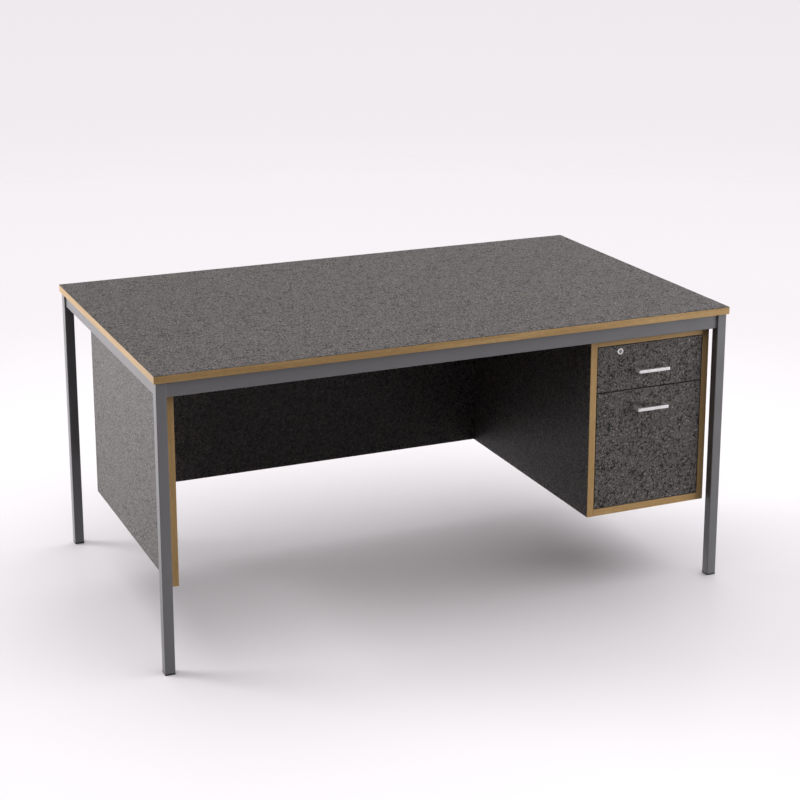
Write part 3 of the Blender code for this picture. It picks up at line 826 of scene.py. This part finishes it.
build_welds()
build_tab_fixings()
build_brackets()
for drawer_name in ("drawer_top", "drawer_bottom"):
    build_handle_screws(drawer_name)
    build_corner_fittings(drawer_name)
    build_runner_details(drawer_name)
build_lock_details()


# ---------------------------------------------------------------- studio

def build_floor():
    """Pale floor, darker with distance, whose rim fades into the background."""
    solid = bmesh.new()
    bmesh.ops.create_circle(solid, cap_ends=True, segments=FLOOR_SIDES, radius=FLOOR_RADIUS)
    mesh = bpy.data.meshes.new("studio_floor")
    solid.to_mesh(mesh)
    solid.free()
    floor = bpy.data.objects.new("studio_floor", mesh)
    bpy.context.scene.collection.objects.link(floor)
    made = bpy.data.materials.new("studio_floor")
    made.use_nodes = True
    tree = made.node_tree
    tree.nodes.remove(tree.nodes["Principled BSDF"])
    place = object_space(tree)
    cloud = noise(tree, place, scale=1.2, detail=2.0, roughness=0.5)
    colour = blended(tree, cloud, *FLOOR_NEAR)
    length = put(tree, "ShaderNodeVectorMath", {0: place}, operation="LENGTH").outputs["Value"]
    distance = ranged(tree, length, FLOOR_SHADE_START, FLOOR_SHADE_END)
    shaded = blended(tree, distance, colour, FLOOR_FAR)
    matt = put(tree, "ShaderNodeBsdfDiffuse", {"Color": shaded})
    gloss = put(tree, "ShaderNodeBsdfGlossy", {"Roughness": FLOOR_GLOSS_ROUGHNESS})
    layers = {0: FLOOR_GLOSS, 1: matt.outputs[0], 2: gloss.outputs[0]}
    surface = put(tree, "ShaderNodeMixShader", layers)
    fade = ranged(tree, length, FLOOR_FADE_START, FLOOR_FADE_END)
    clear = put(tree, "ShaderNodeBsdfTransparent")
    layers = {0: fade, 1: surface.outputs[0], 2: clear.outputs[0]}
    mixed = put(tree, "ShaderNodeMixShader", layers)
    tree.links.new(mixed.outputs[0], tree.nodes["Material Output"].inputs["Surface"])
    mesh.materials.append(made)
    floor.visible_diffuse = False


def build_world():
    """Pale backdrop for the eye; for the light, a room that is bright behind and dim elsewhere."""
    world = bpy.data.worlds.new("studio")
    world.use_nodes = True
    bpy.context.scene.world = world
    tree = world.node_tree
    direction = put(tree, "ShaderNodeTexCoord").outputs["Generated"]
    split = put(tree, "ShaderNodeSeparateXYZ", {0: direction}).outputs
    rise = ranged(tree, split["Z"], -0.22, -0.06)
    seen = blended(tree, rise, BACKDROP_LOW, BACKDROP_HIGH)
    behind = ranged(tree, split["Y"], 0.0, 0.5)
    walls = blended(tree, behind, ROOM_FRONT, ROOM_BACK)
    height = ranged(tree, split["Z"], 0.15, 0.75)
    room = blended(tree, height, walls, ROOM_ABOVE)
    below = ranged(tree, split["Z"], 0.0, -0.04)
    around = blended(tree, below, room, ROOM_BELOW)
    eye = put(tree, "ShaderNodeLightPath").outputs["Is Camera Ray"]
    colour = blended(tree, eye, around, seen)
    tree.links.new(colour, tree.nodes["Background"].inputs["Color"])


def sun(name, direction, breadth, strength):
    """Distant light that comes from a direction, as broad as the degrees given."""
    light = bpy.data.lights.new(name, "SUN")
    light.energy = strength
    light.angle = math.radians(breadth)
    made = bpy.data.objects.new(name, light)
    made.rotation_euler = Vector(direction).to_track_quat("Z", "Y").to_euler()
    bpy.context.scene.collection.objects.link(made)
    return made


def soft_box(name, place, target, size, power):
    """Square area light aimed at a point."""
    light = bpy.data.lights.new(name, "AREA")
    light.energy = power
    light.size = size
    made = bpy.data.objects.new(name, light)
    made.location = place
    made.rotation_euler = (Vector(place) - Vector(target)).to_track_quat("Z", "Y").to_euler()
    bpy.context.scene.collection.objects.link(made)
    return made


def light_only(light, lit):
    """Keep a light to the pieces given."""
    receivers = bpy.data.collections.new(f"lit_by_{light.name}")
    for thing in lit:
        receivers.objects.link(thing)
    light.light_linking.receiver_collection = receivers


def build_lights():
    """Overhead light, a low wash for the floor, and panels for the left, the right and the metal."""
    sun("overhead", direction=(0.24, -0.01, 1.0), breadth=98, strength=3.25)
    floor_wash = sun("floor_wash", direction=(-0.84, 0.54, 0.14), breadth=32, strength=5.8)
    left_panel = soft_box(
        "left_panel", place=(-3.6, 2.3, 0.4), target=(-0.8, 0.0, 0.35), size=2.6, power=305)
    right_panel = soft_box(
        "right_panel", place=(2.9, -1.7, 0.9), target=(0.3, -0.4, 0.5), size=1.4, power=76)
    metal_panel = soft_box(
        "metal_panel", place=(-2.6, -1.6, 1.5), target=(0.6, -0.4, 0.6), size=1.4, power=80)
    meshes = [thing for thing in bpy.context.scene.objects if thing.type == "MESH"]
    pieces = [thing for thing in meshes if thing.name != "studio_floor"]
    light_only(floor_wash, [thing for thing in meshes if thing.name == "studio_floor"])
    light_only(left_panel, [thing for thing in pieces if thing.name != "worktop_laminate"])
    light_only(right_panel, pieces)
    light_only(metal_panel, [thing for thing in pieces if NICKEL.name in thing.data.materials])


def build_camera():
    """Camera to the front left of the desk, looking slightly down."""
    lens = bpy.data.cameras.new("camera")
    lens.lens = LENS_MM
    lens.sensor_width = SENSOR_MM
    lens.shift_y = FRAME_SHIFT
    made = bpy.data.objects.new("camera", lens)
    made.location = CAMERA_PLACE
    made.rotation_euler = (math.radians(90 - CAMERA_DIP), 0.0, math.radians(-CAMERA_TURN))
    bpy.context.scene.collection.objects.link(made)
    bpy.context.scene.camera = made


build_floor()
build_world()
build_lights()
build_camera()
bpy.context.scene.view_settings.view_transform = "Standard"
